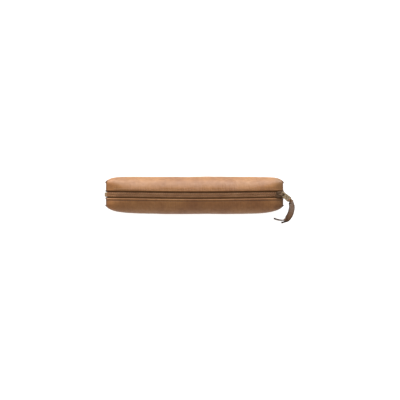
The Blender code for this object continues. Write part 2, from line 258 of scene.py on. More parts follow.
def leather_material(name, deep, middle, light, edge, grain=1.0):
    """Oiled leather: pebbled grain, drifts of colour, darker creases, and a darker colour mixed in for worn
    edges and painted shade.
    """
    material, nodes, links, shader = new_material(name)
    place = rest_coordinates(nodes)
    drift = texture(nodes, links, "Noise", place, Scale=0.035, Detail=4.0, Roughness=0.6)
    mottle = texture(nodes, links, "Noise", place, Scale=0.28, Detail=5.0, Roughness=0.62)
    pebble = texture(nodes, links, "Voronoi", place, Scale=1.5 * grain)
    pores = texture(nodes, links, "Noise", place, Scale=3.2 * grain, Detail=3.0, Roughness=0.7)
    across = stretched(nodes, links, place, (0.30, 0.06, 0.06))
    lines = texture(nodes, links, "Noise", across, Scale=1.0, Detail=3.0, Roughness=0.5)
    colour = ramp(nodes, links, drift.outputs["Fac"], [(0.30, deep), (0.50, middle), (0.72, light)])
    shade = grey_ramp(nodes, links, mottle.outputs["Fac"], [(0.28, 0.80), (0.55, 1.0), (0.8, 1.10)])
    colour = mixed(nodes, links, colour, shade, 0.48, "MULTIPLY")
    cells = grey_ramp(nodes, links, pebble.outputs["Distance"], [(0.0, 1.06), (0.45, 0.97), (0.9, 0.78)])
    colour = mixed(nodes, links, colour, cells, 0.55, "MULTIPLY")
    # The tone values multiply the colour: lighter at the left end, painted shade towards the slider's end
    colour = mixed(nodes, links, colour, named_value(nodes, "tone"), 1.0, "MULTIPLY")
    # Mixes in the darker edge colour by the burnish values: worn edges, and painted shade in the front groove
    # and where the lips roll into the zip's gap
    colour = mixed(nodes, links, colour, edge, named_value(nodes, "burnish_and_shade"))
    links.new(colour, shader.inputs["Base Color"])
    rough = grey_ramp(nodes, links, mottle.outputs["Fac"], [(0.3, 0.58), (0.7, 0.42)])
    links.new(rough, shader.inputs["Roughness"])
    shader.inputs["Specular IOR Level"].default_value = 0.32
    crease = maths(nodes, links, "MULTIPLY", lines.outputs["Fac"], named_value(nodes, "crease"))
    heights = [
        (crease, 0.9, 0.0011),
        (mottle.outputs["Fac"], 0.35, 0.0006),
        (pebble.outputs["Distance"], 0.4, -0.00028),
        (pores.outputs["Fac"], 0.3, 0.00012),
    ]
    bumped(nodes, links, shader, heights)
    return material


def cloth_material(name, dark, light, threads_per_mm):
    """A plain weave, with its warp and weft as two sets of waves."""
    material, nodes, links, shader = new_material(name)
    place = rest_coordinates(nodes)
    waves = []
    for direction in ("X", "Y"):
        wave = texture(nodes, links, "Wave", place, Scale=threads_per_mm, Distortion=0.4, Detail=1.0)
        wave.bands_direction = direction
        waves.append(wave.outputs["Fac"])
    weave = maths(nodes, links, "MULTIPLY", *waves)
    dirt_and_shade = texture(nodes, links, "Noise", place, Scale=0.22, Detail=5.0, Roughness=0.6)
    colour = ramp(nodes, links, weave, [(0.0, dark), (0.8, light)])
    soiled = grey_ramp(nodes, links, dirt_and_shade.outputs["Fac"], [(0.3, 0.7), (0.65, 1.05)])
    links.new(mixed(nodes, links, colour, soiled, 0.8, "MULTIPLY"), shader.inputs["Base Color"])
    shader.inputs["Roughness"].default_value = 0.9
    shader.inputs["Specular IOR Level"].default_value = 0.2
    bumped(nodes, links, shader, [(weave, 0.6, 0.00025), (dirt_and_shade.outputs["Fac"], 0.2, 0.0004)])
    return material


def coil_material():
    """Nylon that yellows and is soiled at random, with painted shade darkening the line where the two rows'
    turns meet.
    """
    material, nodes, links, shader = new_material("nylon_coil")
    place = rest_coordinates(nodes)
    dirt_and_shade = texture(nodes, links, "Noise", place, Scale=0.12, Detail=5.0, Roughness=0.65)
    speck = texture(nodes, links, "Noise", place, Scale=2.2, Detail=3.0)
    stops = [(0.3, (0.20, 0.095, 0.042)), (0.55, (0.29, 0.150, 0.070)), (0.75, (0.35, 0.195, 0.100))]
    colour = ramp(nodes, links, dirt_and_shade.outputs["Fac"], stops)
    soiled = grey_ramp(nodes, links, speck.outputs["Fac"], [(0.35, 0.75), (0.6, 1.05)])
    colour = mixed(nodes, links, colour, soiled, 0.6, "MULTIPLY")
    # The tone values multiply the colour: lighter at the left end, painted shade towards the slider's end
    colour = mixed(nodes, links, colour, named_value(nodes, "tone"), 1.0, "MULTIPLY")
    # Mixes in a dark brown by the burnish values: painted shade where the two rows meet
    colour = mixed(nodes, links, colour, (0.075, 0.035, 0.016), named_value(nodes, "burnish_and_shade"))
    links.new(colour, shader.inputs["Base Color"])
    shader.inputs["Roughness"].default_value = 0.42
    shader.inputs["Specular IOR Level"].default_value = 0.3
    bumped(nodes, links, shader, [(speck.outputs["Fac"], 0.3, 0.00015)])
    return material


def brass_material(name, dark, bright):
    """Antique brass: bright where it rubs, brown in its pits, with fine scratches."""
    material, nodes, links, shader = new_material(name)
    place = rest_coordinates(nodes)
    cloud = texture(nodes, links, "Noise", place, Scale=0.55, Detail=6.0, Roughness=0.7)
    along = stretched(nodes, links, place, (9.0, 0.9, 3.0))
    scratch = texture(nodes, links, "Noise", along, Scale=1.0, Detail=4.0, Roughness=0.8)
    pits = texture(nodes, links, "Voronoi", place, Scale=2.6)
    colour = ramp(nodes, links, cloud.outputs["Fac"], [(0.34, dark), (0.62, bright)])
    wear_and_shade = grey_ramp(nodes, links, scratch.outputs["Fac"], [(0.35, 0.8), (0.65, 1.1)])
    links.new(mixed(nodes, links, colour, wear_and_shade, 0.7, "MULTIPLY"), shader.inputs["Base Color"])
    rough = grey_ramp(nodes, links, cloud.outputs["Fac"], [(0.3, 0.58), (0.7, 0.3)])
    links.new(rough, shader.inputs["Roughness"])
    shader.inputs["Metallic"].default_value = 0.92
    heights = [(scratch.outputs["Fac"], 0.25, 0.00008), (pits.outputs["Distance"], 0.25, 0.00012)]
    bumped(nodes, links, shader, heights)
    return material


def thread_material(name, dark, light):
    material, nodes, links, shader = new_material(name)
    place = rest_coordinates(nodes)
    twist = texture(nodes, links, "Wave", place, Scale=2.4, Distortion=1.0, Detail=2.0)
    twist.bands_direction = "DIAGONAL"
    colour = ramp(nodes, links, twist.outputs["Fac"], [(0.1, dark), (0.9, light)])
    links.new(colour, shader.inputs["Base Color"])
    shader.inputs["Roughness"].default_value = 0.6
    bumped(nodes, links, shader, [(twist.outputs["Fac"], 0.6, 0.0001)])
    return material


def floor_material():
    material, _, _, shader = new_material("studio_floor")
    shader.inputs["Base Color"].default_value = (0.40, 0.40, 0.40, 1.0)
    shader.inputs["Roughness"].default_value = 0.9
    shader.inputs["Specular IOR Level"].default_value = 0.1
    shader.inputs["Emission Color"].default_value = (1.0, 1.0, 1.0, 1.0)
    shader.inputs["Emission Strength"].default_value = 0.82
    return material


# Leather colours are the deep, middle and light of its drifts, and the darker colour of its worn edges and
# painted shade
MATERIAL = {
    "leather": leather_material(
        "oiled_leather",
        (0.165, 0.067, 0.021),
        (0.205, 0.090, 0.028),
        (0.245, 0.116, 0.038),
        (0.070, 0.032, 0.015),
    ),
    "strap": leather_material(
        "strap_leather",
        (0.125, 0.060, 0.027),
        (0.165, 0.086, 0.039),
        (0.20, 0.110, 0.050),
        (0.04, 0.021, 0.012),
        1.4,
    ),
    "binding": leather_material(
        "seam_leather",
        (0.055, 0.028, 0.017),
        (0.085, 0.043, 0.025),
        (0.12, 0.062, 0.036),
        (0.04, 0.021, 0.013),
        1.5,
    ),
    "lining": cloth_material("cotton_lining", (0.05, 0.036, 0.026), (0.15, 0.115, 0.085), 0.55),
    "tape": cloth_material("zip_tape", (0.075, 0.036, 0.016), (0.20, 0.112, 0.055), 0.8),
    "coil": coil_material(),
    "brass": brass_material("antique_brass", (0.11, 0.08, 0.05), (0.42, 0.34, 0.225)),
    "slider": brass_material("slider_bronze", (0.035, 0.020, 0.012), (0.13, 0.082, 0.050)),
    "thread": thread_material("waxed_thread", (0.035, 0.018, 0.009), (0.10, 0.058, 0.03)),
    "tan_thread": thread_material("tan_thread", (0.12, 0.055, 0.020), (0.26, 0.135, 0.055)),
}


# Meshes


def bell(offset, reach):
    """1 at no offset, and next to nothing beyond twice the reach."""
    return math.exp(-((offset / reach) ** 2))


def soft(t):
    t = min(max(t, 0.0), 1.0)
    return t * t * (3 - 2 * t)


def linked(name, data):
    """A new object in the scene round a mesh, light or camera."""
    obj = bpy.data.objects.new(name, data)
    bpy.context.scene.collection.objects.link(obj)
    return obj


def add_value(mesh, name, values):
    attribute = mesh.attributes.new(name, "FLOAT", "POINT")
    attribute.data.foreach_set("value", np.asarray(values, np.float32))


def mark_rest(obj):
    """Stores each point's place in mm, which the materials read, and plain burnish and shade, crease and tone
    values where it has none.
    """
    mesh = obj.data
    places = np.empty(len(mesh.vertices) * 3, np.float32)
    mesh.vertices.foreach_get("co", places)
    attribute = mesh.attributes.new("rest", "FLOAT_VECTOR", "POINT")
    attribute.data.foreach_set("vector", places / MM)
    for name, value in (("burnish_and_shade", 0.0), ("crease", 0.0), ("tone", 1.0)):
        if name not in mesh.attributes:
            add_value(mesh, name, np.full(len(mesh.vertices), value))


def piece_from(name, points, faces, material, values=()):
    """A mesh object from points in mm. values are (attribute name, one number per point)."""
    mesh = bpy.data.meshes.new(name)
    mesh.from_pydata([tuple(c * MM for c in p) for p in points], [], faces)
    for attribute, numbers in values:
        add_value(mesh, attribute, numbers)
    mesh.materials.append(MATERIAL[material])
    mesh.validate()
    mesh.shade_smooth()
    return linked(name, mesh)


def settle(obj):
    """Applies the modifiers, so that bends and bakes work on the final mesh, then marks its points."""
    graph = bpy.context.evaluated_depsgraph_get()
    mesh = bpy.data.meshes.new_from_object(obj.evaluated_get(graph), depsgraph=graph)
    obj.modifiers.clear()
    obj.data = mesh
    work = bmesh.new()
    work.from_mesh(mesh)
    bmesh.ops.recalc_face_normals(work, faces=work.faces)
    work.to_mesh(mesh)
    work.free()
    mark_rest(obj)
    return obj


def grid_faces(rows, columns, closed=False, flipped=False):
    faces = []
    for i in range(rows - 1):
        for j in range(columns if closed else columns - 1):
            after = (j + 1) % columns
            face = (i * columns + j, i * columns + after, (i + 1) * columns + after, (i + 1) * columns + j)
            faces.append(face[::-1] if flipped else face)
    return faces


def thickened(obj, thickness):
    modifier = obj.modifiers.new("thickness", "SOLIDIFY")
    modifier.thickness = thickness * MM
    modifier.offset = -1.0
    modifier.use_even_offset = False


def rounded(obj, width, segments):
    """Rounds the edges of a mesh. width is in the mesh's own unit."""
    rounding = obj.modifiers.new("rounding", "BEVEL")
    rounding.width = width
    rounding.segments = segments
    rounding.limit_method = "ANGLE"


# Skins, lining and tapes


def mouth_share(x):
    """How far the mouth opens x mm along the case, from 0 to 1."""
    share = min(max((x - MOUTH_FROM) / (MOUTH_TO - MOUTH_FROM), 0.0), 1.0)
    return math.sin(math.pi * share) ** 0.9


def follow_mouth(obj, side):
    """Bends a piece between the case and one upper half, less and less towards the mouth's two ends."""
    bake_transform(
        obj, "case", "upper_" + side, start=(0.0, 0.0, BEND_FROM_Z * MM), end=(0.0, 0.0, BEND_TO_Z * MM)
    )
    mesh = obj.data
    weights = mesh.attributes["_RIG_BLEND"]
    values = np.empty(len(mesh.vertices), np.float32)
    weights.data.foreach_get("value", values)
    shares = np.array([mouth_share(vertex.co.x / MM) for vertex in mesh.vertices], np.float32)
    weights.data.foreach_set("value", values * shares)


def half_outline(side, u, inset, start):
    """One half of the tube's outline u mm in from the end, from the zip's line round to the base's middle.

    Gives its points, how far along it each one is, and how far along it the place start mm off the zip is.
    """
    width = grown(u, *WIDTH[side]) - inset
    radius = max(grown(u, *CORNER) - inset, LEAST_RADIUS)
    top, bottom = HEIGHT - inset, inset
    outline = [(0.0, top)]
    for quarter, z in ((0, top - radius), (1, bottom + radius)):
        for step in range(CORNER_STEPS + 1):
            angle = math.pi / 2 * (1 - quarter - step / CORNER_STEPS)
            outline.append((width - radius + radius * math.cos(angle), z + radius * math.sin(angle)))
    outline.append((0.0, bottom))
    outline = np.array(outline)
    lengths = np.concatenate([[0.0], np.cumsum(np.linalg.norm(np.diff(outline, axis=0), axis=1))])
    begin = np.interp(start, outline[:TOP_POINTS, 0], lengths[:TOP_POINTS])
    return outline, lengths, begin


def top_height(outline, y):
    """The height of an outline's upper side y mm off the zip's line."""
    return np.interp(y, outline[:TOP_POINTS, 0], outline[:TOP_POINTS, 1])


def end_stations(inset, step):
    """(x, inset) of the outlines from the right end's face, round its edge, to the middle of the case."""
    length = HALF_LENGTH - inset
    edge = max(END_EDGE - inset, LEAST_RADIUS)
    half = []
    for k in range(EDGE_STEPS + 1):
        angle = math.pi / 2 * k / EDGE_STEPS
        half.append((length - edge * (1 - math.cos(angle)), inset + edge * (1 - math.sin(angle))))
    x = length - edge
    count = int(x / step)
    for k in range(1, count + 1):
        half.append((x * (1 - k / count), inset))
    return half


def sagged(x, y, z, side):
    """How far the skin stands in or out at a point, in mm: broad unevenness, and finer dents on it."""
    place = Vector((x * 0.021, y * 0.03, z * 0.03 + SAG_SEED[side]))
    broad = noise.noise(place) * SAG_BROAD
    place = Vector((x * 0.09, y * 0.07, z * 0.07 + 5.0))
    fine = noise.noise(place) * SAG_FINE
    return broad + fine - SAG_LESS


def end_tone_and_shade(x):
    """Lighter towards the left end, and darker towards the slider's end: painted shade where the leather
    rounds down to that end.
    """
    return 1.0 + 0.28 * soft((-x - 86.0) / 10.0) - 0.36 * soft((x - 86.0) / 10.0)


def near_end(x):
    """0 over most of the case, rising to 1 towards each end."""
    return soft((abs(x) - 80.0) / 17.0)


def skin_shift(side, x, y, z, start, pull):
    """How far a point of the leather stands out, in mm: its sag, and the groove and welt beside the lip."""
    off_lip = y - start
    amount = sagged(x, y * SIDES[side], z, side) * (1 - near_end(x))
    amount *= soft(off_lip / 5.0 if z > SEAM_Z else 1.0)
    amount *= soft((z - 0.5) / 6.0)
    sewn = 0.0
    if z > SEAM_Z + 2:
        groove = -GROOVE[side] * bell(off_lip - STITCH_OFF, GROOVE_REACH)
        sewn = groove + WELT[side] * bell(off_lip - WELT_OFF, WELT_REACH)
    return amount + sewn * (1 - pull)


def skin_outward(y, z, sunk, start):
    """The way out of the tube at a point of its outline, which is straight up beside the lip."""
    upward = Vector((0.0, 1.0))
    if z > HEIGHT - 2.0 - sunk and y < start + 6:
        return upward
    centre_z = min(max(z, 15.0), HEIGHT - 15.0)
    outward = Vector((y - 5.0, z - centre_z))
    return outward.normalized() if outward.length > 1e-6 else upward


def skin(name, side, inset, start, thickness, material, with_lip, step=1.6, count=46):
    """One half of the tube as an open surface over its whole length and both ends, then thickened."""
    sign = SIDES[side]

    def ring(x, sunk, pull):
        """One outline, pulled by a share of its way to the end's seam: its points, their burnish and painted
        shade, and crease.
        """
        outline, lengths, begin = half_outline(side, HALF_LENGTH - abs(x), sunk, start)
        spread = [begin + (lengths[-1] - begin) * (k / (count - 1)) ** CROWDING for k in range(count)]
        ys = np.interp(spread, lengths, outline[:, 0])
        zs = np.interp(spread, lengths, outline[:, 1])
        seam_end = grown(0.0, *WIDTH[side]) - sunk - 1.0
        bulge = END_BULGE if pull and with_lip else 0.0
        out_x = math.copysign(bulge * math.sin(math.pi * pull), x)
        points, wear_and_shade, creased = [], [], []
        for y, z in zip(ys, zs):
            near_lip = bell(y - start, LIP_REACH) if z > SEAM_Z else 0.0
            if with_lip:
                moved = skin_shift(side, x, y, z, start, pull)
                outward = skin_outward(y, z, sunk, start)
                y, z = y + outward.x * moved, z + outward.y * moved
                over = TOP_RISE[side]
                z = min(z, HEIGHT + over * math.tanh((z - HEIGHT) / over)) if z > HEIGHT else z
            z = z + (SEAM_Z - z) * pull
            if pull:
                y = y + (min(y, seam_end) - y) * pull
            points.append((x + out_x, y * sign + bow(x) * near_lip * (1 - pull), z))
            # Painted shade darkening the front's stitched groove
            grooved = side == "front" and z > SEAM_Z
            wear_and_shade.append(0.55 * bell(y - start - STITCH_OFF, 0.7) if grooved else 0.0)
            creased.append(bell(y - start, 7.5) * (1 - near_end(x)) + 0.12)
        if with_lip:
            y, z = points[0][1] * sign, points[0][2]
            if pull or abs(x) > HALF_LENGTH - inset - 0.01:
                inward = math.copysign(1.0, -x)
                lip = [(x + inward * deep, (y - out) * sign, z) for out, deep in LIP_ROLL]
            else:
                lip = [(x, (y - out) * sign, z - deep) for out, deep in LIP_ROLL]
            # The rolled lip points take the painted shade values
            points, wear_and_shade, creased = lip + points, [*LIP_SHADE, *wear_and_shade], [*LIP_CREASE, *creased]
        return points, wear_and_shade, creased

    half = end_stations(inset, step)
    stations = half + [(-x, sunk) for x, sunk in half[-2::-1]]
    order = [(*stations[0], share) for share in reversed(END_SHARES)]
    order += [(*station, 0.0) for station in stations]
    order += [(*stations[-1], share) for share in END_SHARES]
    rows, burnish_and_shade, crease, tone = [], [], [], []
    for x, sunk, pull in order:
        points, wear_and_shade, creased = ring(x, sunk, pull)
        rows.append(points)
        # Darker over each end face and within a millimetre or two of it
        ends = [math.exp(-((HALF_LENGTH - abs(p[0])) / 1.4)) * 0.55 for p in points]
        burnish_and_shade += [min(1.0, a + b) for a, b in zip(wear_and_shade, ends)]
        crease += creased
        # tone: lighter at the left end, painted shade darkening the slider's end
        tone += [end_tone_and_shade(p[0]) for p in points]
    faces = grid_faces(len(rows), len(rows[0]), flipped=sign < 0)
    values = (("burnish_and_shade", burnish_and_shade), ("crease", crease), ("tone", tone))
    obj = piece_from(name, [p for row in rows for p in row], faces, material, values)
    thickened(obj, thickness)
    settle(obj)
    follow_mouth(obj, side)
    return obj


def make_leather():
    for side in SIDES:
        obj = skin("leather_skin_" + side, side, 0.0, LIP_EDGE, LEATHER - 0.1, "leather", True)
        covered = ["leather_" + side] + (["leather_base"] if side == "front" else [])
        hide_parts(*covered)


def make_lining():
    for side in SIDES:
        obj = skin("lining_skin_" + side, side, LINING_INSET, 9.0, 0.4, "lining", False, 3.2, 26)
        covered = ["lining_" + side] + (["lining_base"] if side == "front" else [])
        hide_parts(*covered)


def zip_path(inset, step=2.0):
    """(x, z) along the zip: up one end, over the top and down the other, inset mm inside the leather."""
    length, top = HALF_LENGTH - inset, HEIGHT - inset
    radius, turn = 1.0, 4
    path = [(length, z) for z in np.linspace(SEAM_Z + 0.8, top - radius, 9)]
    for k in range(1, turn + 1):
        angle = math.pi / 2 * k / turn
        path.append((length - radius * (1 - math.cos(angle)), top - radius * (1 - math.sin(angle))))
    flat = int((length - radius) / step)
    path += [((length - radius) * (1 - k / flat), top) for k in range(1, flat + 1)]
    return path + [(-x, z) for x, z in path[-2::-1]]


def make_tapes():
    """Each tape runs along the top and down both ends, where the two meet below the rows."""
    inset = HEIGHT - TAPE_TOP + 0.02
    path = zip_path(inset)
    across = np.concatenate([np.linspace(0.75, 3.0, 6), np.linspace(3.6, 8.6, 5)])
    for side, sign in SIDES.items():
        points = []
        for x, z in path:
            outline, _, _ = half_outline(side, HALF_LENGTH - abs(x), inset, 0.0)
            flat = z > HEIGHT - inset - 0.8
            for y in across:
                drop = HEIGHT - inset - top_height(outline, y)
                meet = 0.70 * soft((ROW_END_Z + 1.0 - z) / 1.5) * soft((3.0 - y) / 2.0)
                points.append((x, (y - meet) * sign + (bow(x) if flat else 0.0), z - (drop if flat else 0.0)))
        obj = piece_from("tape_" + side, points, grid_faces(len(path), len(across), flipped=sign < 0), "tape")
        thickened(obj, 0.5)
        settle(obj)
        follow_mouth(obj, side)
        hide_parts("zip_tape_" + side)


# Rows and stitches


def tube_faces(rings, sides):
    """Faces of a tube with both ends closed."""
    first = tuple(range(sides))[::-1]
    last = tuple((rings - 1) * sides + k for k in range(sides))
    return grid_faces(rings, sides, closed=True) + [first, last]


def swept(centres, radius, sides=TUBE_SIDES, up=Vector((0, 0, 1))):
    """Rings of points round a line of centres in mm. radius is one number or one for each centre."""
    points = []
    count = len(centres)
    for k, centre in enumerate(centres):
        tangent = (centres[min(k + 1, count - 1)] - centres[max(k - 1, 0)]).normalized()
        side = tangent.cross(up)
        side = side.normalized() if side.length > 1e-6 else Vector((1, 0, 0))
        lift = side.cross(tangent)
        r = radius[k] if hasattr(radius, "__len__") else radius
        for j in range(sides):
            angle = 2 * math.pi * j / sides
            points.append(centre + side * (r * math.cos(angle)) + lift * (r * math.sin(angle)))
    return points


def add_tube(points, faces, centres, radii):
    """Adds one closed tube to the points and faces of a mesh."""
    start = len(points)
    points += swept(centres, radii)
    faces += [tuple(v + start for v in face) for face in tube_faces(len(centres), TUBE_SIDES)]


def make_rows():
    """Each row is a nylon coil whose turns lie between the other row's, round both ends of the case too."""
    middle = (ROW_LOW + ROW_HIGH) / 2
    path = [Vector((x, 0.0, z)) for x, z in zip_path(HEIGHT - middle, 0.5) if z > ROW_END_Z]
    lengths = [0.0]
    for before, after in zip(path, path[1:]):
        lengths.append(lengths[-1] + (after - before).length)
    xs, zs = [p.x for p in path], [p.z for p in path]

    def path_at(along):
        return float(np.interp(along, lengths, xs)), float(np.interp(along, lengths, zs))

    turns = int(lengths[-1] / TOOTH_PITCH) - 1
    for side, sign in SIDES.items():
        centres = []
        for k in range(turns * COIL_STEPS + 1):
            angle = 2 * math.pi * k / COIL_STEPS
            along = TOOTH_PITCH * (k / COIL_STEPS + COIL_SHIFT[side]) + 0.3
            (x, z), ahead, behind = path_at(along), path_at(along + 0.5), path_at(along - 0.5)
            tangent = Vector((ahead[0] - behind[0], 0.0, ahead[1] - behind[1])).normalized()
            outward = Vector((tangent.z, 0.0, -tangent.x))
            y = sign * (COIL_OFF - COIL_HALF * math.cos(angle)) + bow(x)
            crown = 0.18 * bell(abs(y - bow(x)) - 1.25, 0.6)
            centres.append(Vector((x, y, z)) + outward * (COIL_WIRE * math.sin(angle) + crown - 0.1))
        points = swept(centres, COIL_WIRE)
        # Painted shade darkening the line between the two rows, where their turns meet
        dirt_and_shade = [0.75 * bell(p.y - bow(p.x), 0.42) for p in points]
        # Lighter towards the left end, and painted shade darkening the coil towards the slider's end
        coil_tone_and_shade = [1.08 + 0.5 * soft((-p.x - 84.0) / 12.0) - 0.3 * soft((p.x - 84.0) / 8.0) for p in points]
        values = (("burnish_and_shade", dirt_and_shade), ("tone", coil_tone_and_shade))
        obj = piece_from("coil_" + side, points, tube_faces(len(centres), TUBE_SIDES), "coil", values)
        settle(obj)
        follow_mouth(obj, side)
        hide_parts("zip_row_" + side)


def make_stitches():
    """A line of stitches in the groove beside each lip."""
    pitch, length, rings = 3.0, 2.1, 6
    reach = HALF_LENGTH - 8
    y_off = LIP_EDGE + STITCH_OFF
    near_lip = bell(2.0, LIP_REACH)
    for side, sign in SIDES.items():
        points, faces = [], []
        for k in range(int(2 * reach / pitch)):
            middle = -reach + pitch * (k + 0.5)
            centres, radii = [], []
            for j in range(rings):
                t = j / (rings - 1)
                x = middle + length * (t - 0.5)
                outline, _, _ = half_outline(side, HALF_LENGTH - abs(x), 0.0, 0.0)
                z = top_height(outline, y_off)
                rise = math.sin(math.pi * t)
                centres.append(Vector((x, sign * y_off + bow(x) * near_lip, z - GROOVE[side] + 0.30 * rise)))
                radii.append(0.13 + 0.14 * rise)
            add_tube(points, faces, centres, radii)
        obj = piece_from("stitches_" + side, points, faces, "thread" if side == "front" else "tan_thread")
        settle(obj)
        follow_mouth(obj, side)


# Fittings


def box_mesh(name, low, high, material, bevel=0.3, segments=3, shaper=None):
    """A rounded block between two corners in mm, with cuts enough for shaper to move its points."""
    work = bmesh.new()
    bmesh.ops.create_cube(work, size=1.0)
    low, high = Vector(low), Vector(high)
    for vertex in work.verts:
        vertex.co = Vector((low[k] + high[k]) / 2 + vertex.co[k] * (high[k] - low[k]) for k in range(3))
    bmesh.ops.subdivide_edges(work, edges=work.edges[:], cuts=5, use_grid_fill=True)
    if shaper:
        for vertex in work.verts:
            vertex.co = shaper(vertex.co)
    for vertex in work.verts:
        vertex.co *= MM
    mesh = bpy.data.meshes.new(name)
    work.to_mesh(mesh)
    work.free()
    mesh.materials.append(MATERIAL[material])
    mesh.shade_smooth()
    obj = linked(name, mesh)
    rounded(obj, bevel * MM, segments)
    return obj


def joined(name, pieces):
    """Several settled objects made one."""
    target = pieces[0]
    with bpy.context.temp_override(active_object=target, selected_editable_objects=pieces):
        bpy.ops.object.join()
    target.name = name
    return target


def box_of(node):
    low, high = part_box(node)
    return Vector(low) / MM, Vector(high) / MM


def make_stops():
    for side in SIDES:
        low, high = box_of("zip_top_stop_" + side)
        stop = box_mesh("top_stop_" + side, low, high, "brass")
        settle(stop)
        follow_mouth(stop, side)
        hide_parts("zip_top_stop_" + side)
    low, high = box_of("zip_bottom_stop")

    def clamp(point):
        waist = 1 - 0.10 * math.cos((point.z - low.z) / (high.z - low.z) * 2 * math.pi)
        return Vector((point.x, point.y * waist, point.z))

    stop = box_mesh("bottom_stop", low, high, "brass", 0.6, 4, clamp)
    settle(stop)
    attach(stop, "case")
    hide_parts("zip_bottom_stop")


def strip_shaper(node, low, high):
    """Turns a block into a leather strip: crowned, uneven, narrow at its ends and bent round its corner."""
    middle, half = (low + high) / 2, (high - low) / 2
    axis = 1 if node.startswith("end") else 2
    other = 3 - axis

    def shaper(point):
        along = (point[axis] - middle[axis]) / half[axis]
        pinch = 1 - 0.35 * abs(along) ** 6
        wobble = noise.noise(Vector((point[axis] * 0.16, len(node) * 1.3, 2.0)))
        width = (point[other] - middle[other]) * pinch * (1 + 0.14 * wobble)
        crown = 1 - 0.35 * (abs(point[other] - middle[other]) / half[other]) ** 2
        moved = point.copy()
        moved[other] = middle[other] + width + 0.25 * wobble
        outside = (point.x - middle.x) * math.copysign(1, middle.x) > 0
        if outside:
            moved.x = middle.x + (point.x - middle.x) * crown * pinch
        if axis == 2:
            share = ((abs(point.y) - abs(middle.y)) / half.y + 1) / 2
            moved.x -= math.copysign((2.0 if outside else 2.6) * max(share, 0.0) ** 1.6, middle.x)
        return moved

    return shaper


def make_seams():
    """Leather strips over the seams across the ends and down their corners, pressed thin at each end."""
    for end in ("right", "left"):
        for node in ("end_seam_" + end, f"corner_seam_{end}_back", f"corner_seam_{end}_front"):
            low, high = box_of(node)
            strip = box_mesh("strip_" + node, low, high, "binding", 0.28, 2, strip_shaper(node, low, high))
            settle(strip)
            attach(strip, "case")
            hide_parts(node)


def make_slider():
    """The slider's shield-shaped top, its floor, wedge and turned-down edges, and the bridge over it."""
    low, high = box_of("slider_body")
    plate = 1.0
    over = high.z - plate

    def shield(point):
        t = (point.x - low.x) / (high.x - low.x)
        width = 0.80 + 0.20 * soft(t * 1.6) - 0.42 * max(t - 0.72, 0.0) * (abs(point.y) / 3.7)
        z = point.z
        if z > over + 0.5:
            z = z + 0.25 * (1 - (point.y / 3.8) ** 2) - 0.12
        return Vector((point.x, point.y * width, z))

    blocks = [
        ("slider_top", (low.x, low.y, over), (high.x, high.y, high.z), 0.3, shield),
        ("slider_floor", (low.x, -3.2, low.z), (96.3, 3.2, low.z + plate), 0.25, None),
        ("slider_wedge", (94.0, -0.5, low.z + 0.5), (96.2, 0.5, over + 0.4), 0.15, None),
    ]
    for side, sign in SIDES.items():
        near, far = sorted((sign * 2.85, sign * 3.5))
        corners = (low.x + 0.6, near, TAPE_TOP + 0.35), (97.0, far, over + 0.5)
        blocks.append(("slider_edge_" + side, *corners, 0.15, None))
    pieces = []
    for name, near, far, bevel, shaper in blocks:
        pieces.append(settle(box_mesh(name, near, far, "slider", bevel, 3, shaper)))
    body = joined("slider_shell", pieces)
    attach(body, "slider")
    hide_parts("slider_body")
    make_bridge()


def make_bridge():
    """A bent round bar: up one post, over the slider's top and down the other post."""
    low, high = box_of("slider_bridge")
    first, last, foot, top = high.x - 0.6, low.x + 0.6, low.z, high.z - 0.6
    radius, turn, rise, sides = 1.3, 6, 0.35, 10
    centres = [Vector((first, 0, foot + rise * k)) for k in range(4)]
    for k in range(turn + 1):
        angle = math.pi / 2 * k / turn
        x, z = first - radius * (1 - math.cos(angle)), top - radius * (1 - math.sin(angle))
        centres.append(Vector((x, 0, z)))
    for k in range(turn + 1):
        angle = math.pi / 2 * (1 - k / turn)
        x, z = last + radius * (1 - math.cos(angle)), top - radius * (1 - math.sin(angle))
        centres.append(Vector((x, 0, z)))
    centres += [Vector((last, 0, foot + rise * (3 - k))) for k in range(4)]
    points = swept(centres, 0.58, sides, Vector((0, 1, 0)))
    bridge = piece_from("slider_arch", points, tube_faces(len(centres), sides), "slider")
    settle(bridge)
    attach(bridge, "slider")
    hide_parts("slider_bridge")


# The pull


def joint_place(name):
    return next(Vector(joint["pos_m"]) / MM for joint in frame["joints"] if joint["name"] == name)


def tab_directions():
    """The ways along the tab to its far bar, and across it."""
    level = math.cos(TAB_DROP)
    along = Vector((math.cos(TAB_YAW) * level, math.sin(TAB_YAW) * level, -math.sin(TAB_DROP)))
    return along, Vector((-math.sin(TAB_YAW), math.cos(TAB_YAW), 0.0))


def rounded_loop(start, stop, near_half, far_half, radius, per_corner, between):
    """Points of a closed outline with rounded corners, whose two ends may differ in width."""
    places = (start, -near_half), (start, near_half), (stop, far_half), (stop, -far_half)
    corners = [Vector(place) for place in places]
    bends = []
    for k, here in enumerate(corners):
        before, after = corners[k - 1], corners[(k + 1) % 4]
        first = here + (before - here).normalized() * radius
        last = here + (after - here).normalized() * radius
        bends.append([first.lerp(here, t).lerp(here.lerp(last, t), t) for t in np.linspace(0, 1, per_corner)])
    loop = []
    for k, bend in enumerate(bends):
        loop += bend
        loop += [bend[-1].lerp(bends[(k + 1) % 4][0], t) for t in np.linspace(0, 1, between + 2)[1:-1]]
    return loop


